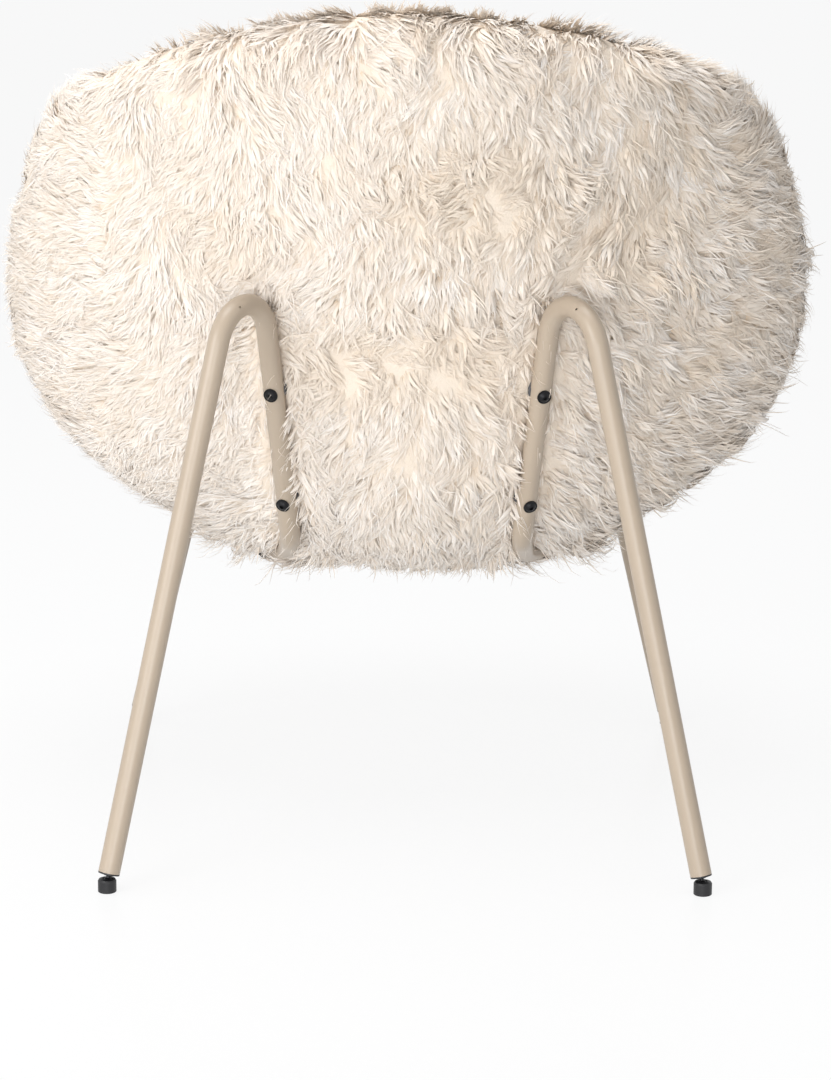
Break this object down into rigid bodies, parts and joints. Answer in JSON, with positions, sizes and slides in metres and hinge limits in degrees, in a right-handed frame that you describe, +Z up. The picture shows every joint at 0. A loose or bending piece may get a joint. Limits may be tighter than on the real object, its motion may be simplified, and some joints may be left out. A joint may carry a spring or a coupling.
{
  "type": "lounge chair",
  "caption": "Round padded bucket lounge chair covered in long fur, on two bent tube side frames with tilting foot pads.",
  "frame": {"origin": "centre of the bounding box on the floor, under the seat", "axes": "+Z up, the sitter faces -Y, the sitter's left is +X"},
  "size_m": [0.792, 0.7362, 0.7966],
  "materials": {
    "fur": "long shaggy pile",
    "tube": "satin powder coat",
    "black_steel": "black oxide",
    "brass_insert": "turned",
    "black_plastic": "moulded",
    "steel": "turned",
    "shell": "moulded",
    "foam": "open-cell foam",
    "wadding": "fibre wadding"
  },
  "bodies": {
    "chair": {"seat_shell": "shell", "seat_foam": "foam", "back_foam": "foam", "rim_roll": "foam", "back_wadding": "wadding", "fur_cover_front": "fur", "fur_cover_back": "fur", "leg_frame_left": "tube", "leg_frame_right": "tube", "back_bolts": "black_steel", "seat_bolts": "black_steel", "shell_inserts": "brass_insert", "foot_plug_rear_left": "black_plastic", "ball_stud_rear_left": "steel", "foot_plug_rear_right": "black_plastic", "ball_stud_rear_right": "steel", "foot_plug_front_left": "black_plastic", "ball_stud_front_left": "steel", "foot_plug_front_right": "black_plastic", "ball_stud_front_right": "steel"},
    "foot_rear_left": {"foot_pad_rear_left": "black_plastic"},
    "foot_rear_right": {"foot_pad_rear_right": "black_plastic"},
    "foot_front_left": {"foot_pad_front_left": "black_plastic"},
    "foot_front_right": {"foot_pad_front_right": "black_plastic"}
  },
  "joints": [
    {"name": "rear_left_pad_tilt", "type": "hinge", "parent": "chair", "child": "foot_rear_left", "pos_m": [0.273, 0.3596, 0.009], "axis": [0.7006, -0.7136, 0], "range_deg": [-8.8, 41]},
    {"name": "rear_right_pad_tilt", "type": "hinge", "parent": "chair", "child": "foot_rear_right", "pos_m": [-0.273, 0.3596, 0.009], "axis": [0.7006, 0.7136, 0], "range_deg": [-8.8, 41]},
    {"name": "front_left_pad_tilt", "type": "hinge", "parent": "chair", "child": "foot_front_left", "pos_m": [0.2825, -0.1904, 0.009], "axis": [-0.4975, -0.8674, 0], "range_deg": [-9.3, 40.5]},
    {"name": "front_right_pad_tilt", "type": "hinge", "parent": "chair", "child": "foot_front_right", "pos_m": [-0.2825, -0.1904, 0.009], "axis": [-0.4975, 0.8674, 0], "range_deg": [-9.3, 40.5]}
  ]
}
